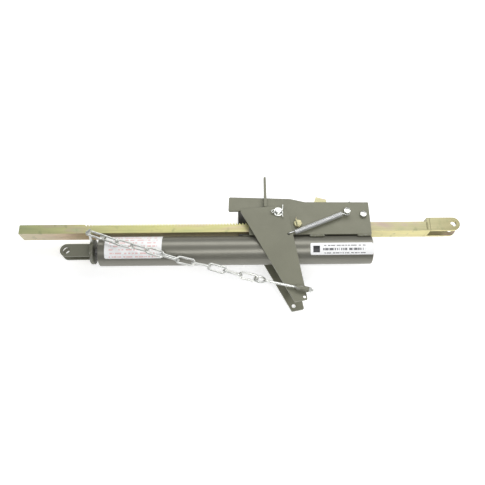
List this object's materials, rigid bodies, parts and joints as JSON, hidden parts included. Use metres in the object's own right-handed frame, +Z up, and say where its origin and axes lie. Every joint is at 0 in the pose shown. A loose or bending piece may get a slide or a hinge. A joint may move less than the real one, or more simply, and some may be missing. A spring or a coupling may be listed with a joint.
{
  "type": "ratchet hold-down cylinder",
  "caption": "Dock leveller hold-down: toothed ratchet bar sliding through a pawl housing on a spring-loaded tube, with a release lever, return spring and chain.",
  "frame": {"origin": "middle of the bounding box's underside, with the object lying on its far side plates", "axes": "+X along the ratchet bar towards its forked end, +Y from the spring tube towards the bar's teeth, +Z up, square to the side plates"},
  "size_m": [1.014, 0.3026, 0.1018],
  "materials": {
    "grey_paint": "satin grey-olive paint",
    "tube_paint": "semi-gloss metallic dark grey paint",
    "yellow_zinc": "yellow chromate zinc plating",
    "bright_zinc": "bright zinc plating",
    "spring_steel": "drawn spring wire",
    "plain_steel": "oiled mill steel",
    "label_vinyl": "printed vinyl label"
  },
  "bodies": {
    "housing": {"spring_tube": "tube_paint", "rod_guide": "plain_steel", "tube_end_cap": "plain_steel", "side_plate_near": "grey_paint", "side_plate_far": "grey_paint", "bar_wear_strip": "plain_steel", "side_gib_screw": "yellow_zinc", "spring_anchor_bolt": "bright_zinc", "spring_anchor_nut": "bright_zinc", "rear_guide_bolt": "bright_zinc", "rear_guide_nut": "bright_zinc", "rear_guide_spacer": "plain_steel", "pawl_spring": "spring_steel", "pawl_bush": "plain_steel", "label_long": "label_vinyl", "label_rear": "label_vinyl"},
    "ratchet_bar": {"ratchet_bar": "yellow_zinc", "fork_base": "yellow_zinc", "fork_ear_near": "yellow_zinc", "fork_ear_far": "yellow_zinc"},
    "plunger": {"plunger_flange": "grey_paint", "plunger_rod": "plain_steel", "piston": "plain_steel", "piston_nut": "bright_zinc", "main_spring": "spring_steel", "rod_clevis_ear_near": "grey_paint", "rod_clevis_ear_far": "grey_paint", "chain_finger": "bright_zinc"},
    "lever": {"lever_plate_near": "grey_paint", "lever_plate_far": "grey_paint", "lever_spacer": "grey_paint", "trip_arm": "grey_paint", "lever_pivot_pin": "bright_zinc", "pivot_washer": "bright_zinc", "cotter_pin": "bright_zinc", "lift_arm": "grey_paint", "lift_pin": "bright_zinc", "eye_bolt": "bright_zinc", "eye_bolt_barrel": "grey_paint", "eye_bolt_nut": "bright_zinc", "return_spring": "spring_steel"},
    "pawl": {"pawl": "yellow_zinc", "pawl_link_pin": "bright_zinc"},
    "push_link": {"push_link": "grey_paint"},
    "chain": {"chain_link_01": "bright_zinc", "chain_link_02": "bright_zinc", "chain_link_03": "bright_zinc", "chain_link_04": "bright_zinc", "chain_link_05": "bright_zinc", "chain_link_06": "bright_zinc", "chain_link_07": "bright_zinc", "chain_link_08": "bright_zinc", "chain_link_09": "bright_zinc", "chain_link_10": "bright_zinc", "chain_link_11": "bright_zinc"}
  },
  "joints": [
    {"name": "bar_slide", "type": "slide", "parent": "housing", "child": "ratchet_bar", "axis": [1, 0, 0], "range_m": [-0.091, 0.406]},
    {"name": "lever_pivot", "type": "hinge", "parent": "housing", "child": "lever", "pos_m": [0.088, 0.06032, 0.0448], "axis": [0, 0, 1], "range_deg": [-8.5, 3.5], "stiffness_Nm_per_rad": 6, "deforming": ["return_spring"]},
    {"name": "plunger_slide", "type": "slide", "parent": "housing", "child": "plunger", "axis": [1, 0, 0], "range_m": [-0.027, 0.0112], "deforming": ["main_spring"]},
    {"name": "pawl_pivot", "type": "hinge", "parent": "housing", "child": "pawl", "pos_m": [0.245, 0.06162, 0.0448], "axis": [0, 0, 1], "range_deg": [-8.7, 3.7], "deforming": ["pawl_spring"]},
    {"name": "link_pivot", "type": "hinge", "parent": "lever", "child": "push_link", "pos_m": [0.06, 0.08432, 0.0448], "axis": [0, 0, 1], "range_deg": [-3.7, 8.7]},
    {"name": "chain_swing", "type": "hinge", "parent": "plunger", "child": "chain", "pos_m": [-0.33525, 0.01063, 0.0921], "axis": [0, 0, 1], "range_deg": [-0.55, 1.3]}
  ],
  "couplings": [
    {"joint": "plunger_slide", "follows": "lever_pivot", "m_per_rad": 0.177},
    {"joint": "pawl_pivot", "follows": "lever_pivot", "ratio": 1},
    {"joint": "link_pivot", "follows": "lever_pivot", "ratio": -1},
    {"joint": "chain_swing", "follows": "lever_pivot", "ratio": -0.145}
  ]
}
